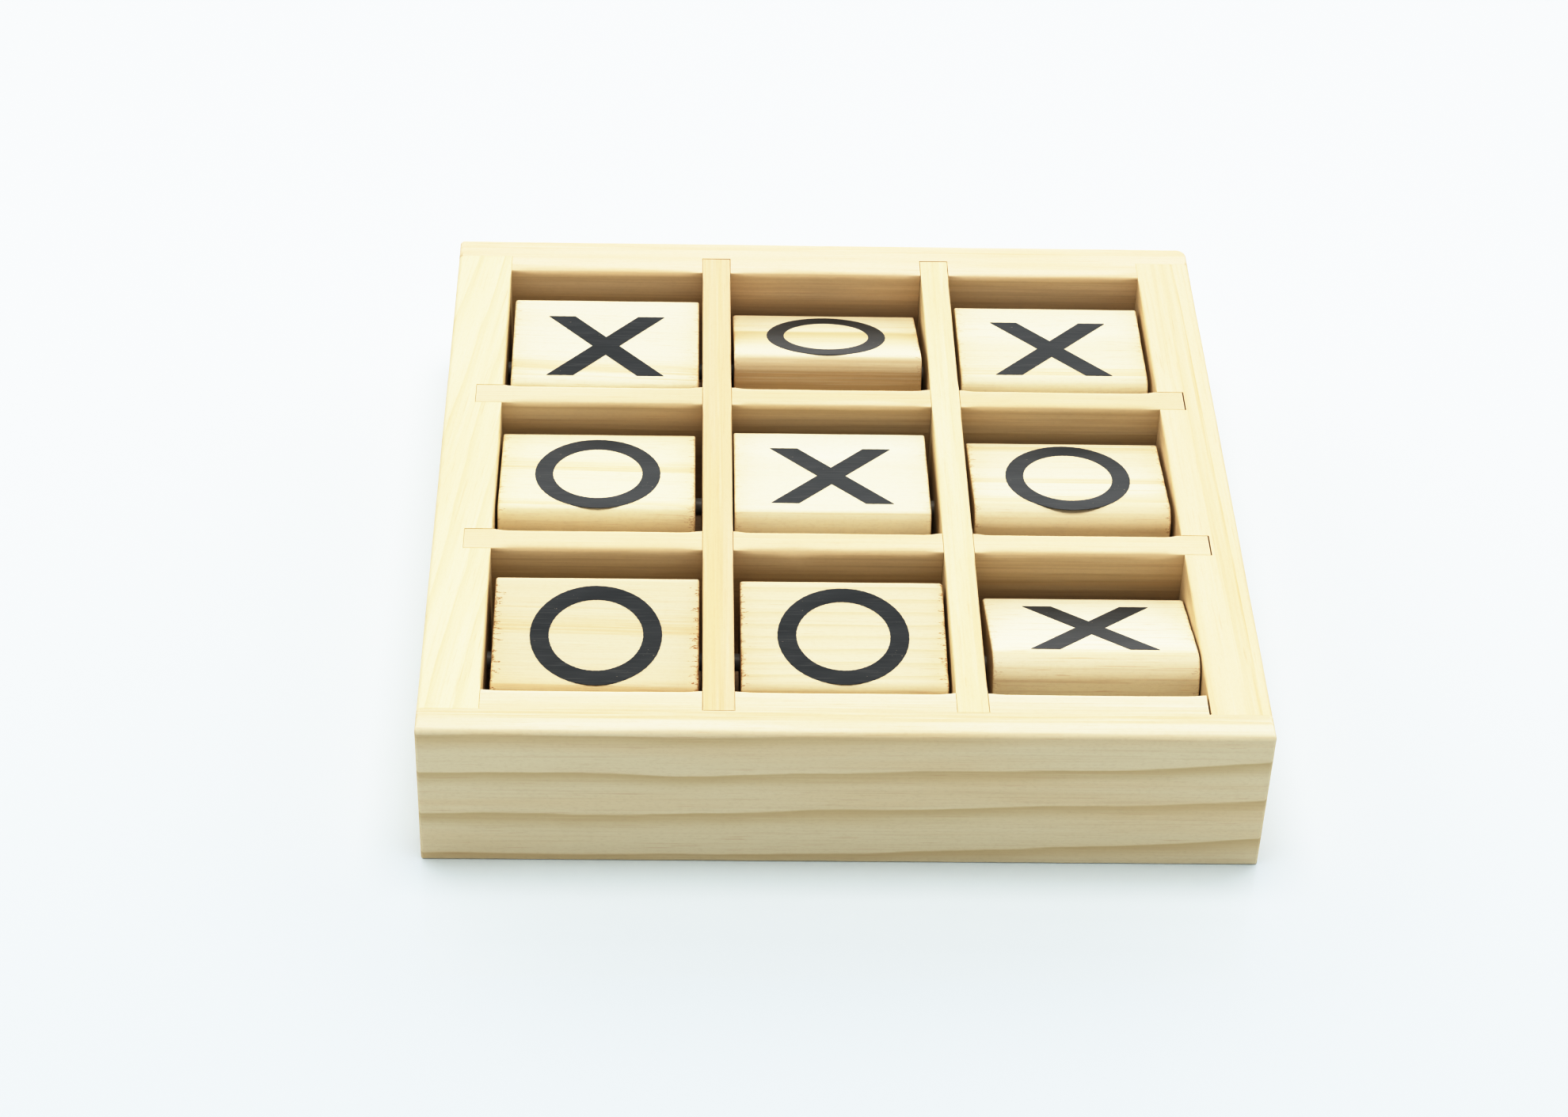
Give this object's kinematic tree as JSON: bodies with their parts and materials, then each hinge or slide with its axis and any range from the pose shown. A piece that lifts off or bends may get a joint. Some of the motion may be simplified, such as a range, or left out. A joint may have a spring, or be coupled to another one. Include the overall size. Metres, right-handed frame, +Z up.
{
  "type": "tic tac toe set",
  "caption": "Square pine tray with a half-lapped grid and wooden blocks that spin on rods and carry a cross and a nought on opposite faces.",
  "frame": {"origin": "centre of the tray's underside, on the surface it stands on", "axes": "+X right along the rods, +Y away from the player, +Z up"},
  "size_m": [0.14, 0.14, 0.0297],
  "materials": {
    "frame_pine": "planed and sanded, unvarnished",
    "block_pine": "planed and sanded, unvarnished",
    "base_board": "sanded plywood",
    "rod": "satin",
    "ink": "satin screen-printed ink"
  },
  "bodies": {
    "tray": {"front_rail": "frame_pine", "back_rail": "frame_pine", "left_rail": "frame_pine", "right_rail": "frame_pine", "base_panel": "base_board", "long_divider_left": "frame_pine", "long_divider_right": "frame_pine", "cross_divider_front": "frame_pine", "cross_divider_back": "frame_pine", "axle_rod_back": "rod", "axle_rod_middle": "rod", "axle_rod_front": "rod"},
    "back_left": {"block_back_left": "block_pine", "marks_back_left": "ink"},
    "back_centre": {"block_back_centre": "block_pine", "marks_back_centre": "ink"},
    "back_right": {"block_back_right": "block_pine", "marks_back_right": "ink"},
    "middle_left": {"block_middle_left": "block_pine", "marks_middle_left": "ink"},
    "middle_centre": {"block_middle_centre": "block_pine", "marks_middle_centre": "ink"},
    "middle_right": {"block_middle_right": "block_pine", "marks_middle_right": "ink"},
    "front_left": {"block_front_left": "block_pine", "marks_front_left": "ink"},
    "front_centre": {"block_front_centre": "block_pine", "marks_front_centre": "ink"},
    "front_right": {"block_front_right": "block_pine", "marks_front_right": "ink"}
  },
  "joints": [
    {"name": "spin_back_left", "type": "hinge", "parent": "tray", "child": "back_left", "pos_m": [-0.04163, 0.04163, 0.019], "axis": [1, 0, 0], "continuous": true},
    {"name": "spin_back_centre", "type": "hinge", "parent": "tray", "child": "back_centre", "pos_m": [0, 0.04163, 0.019], "axis": [1, 0, 0], "continuous": true},
    {"name": "spin_back_right", "type": "hinge", "parent": "tray", "child": "back_right", "pos_m": [0.04163, 0.04163, 0.019], "axis": [1, 0, 0], "continuous": true},
    {"name": "spin_middle_left", "type": "hinge", "parent": "tray", "child": "middle_left", "pos_m": [-0.04163, 0.001, 0.019], "axis": [1, 0, 0], "continuous": true},
    {"name": "spin_middle_centre", "type": "hinge", "parent": "tray", "child": "middle_centre", "pos_m": [0, 0.001, 0.019], "axis": [1, 0, 0], "continuous": true},
    {"name": "spin_middle_right", "type": "hinge", "parent": "tray", "child": "middle_right", "pos_m": [0.04163, 0.001, 0.019], "axis": [1, 0, 0], "continuous": true},
    {"name": "spin_front_left", "type": "hinge", "parent": "tray", "child": "front_left", "pos_m": [-0.04163, -0.04128, 0.019], "axis": [1, 0, 0], "continuous": true},
    {"name": "spin_front_centre", "type": "hinge", "parent": "tray", "child": "front_centre", "pos_m": [0, -0.04128, 0.019], "axis": [1, 0, 0], "continuous": true},
    {"name": "spin_front_right", "type": "hinge", "parent": "tray", "child": "front_right", "pos_m": [0.04163, -0.04128, 0.019], "axis": [1, 0, 0], "continuous": true}
  ]
}
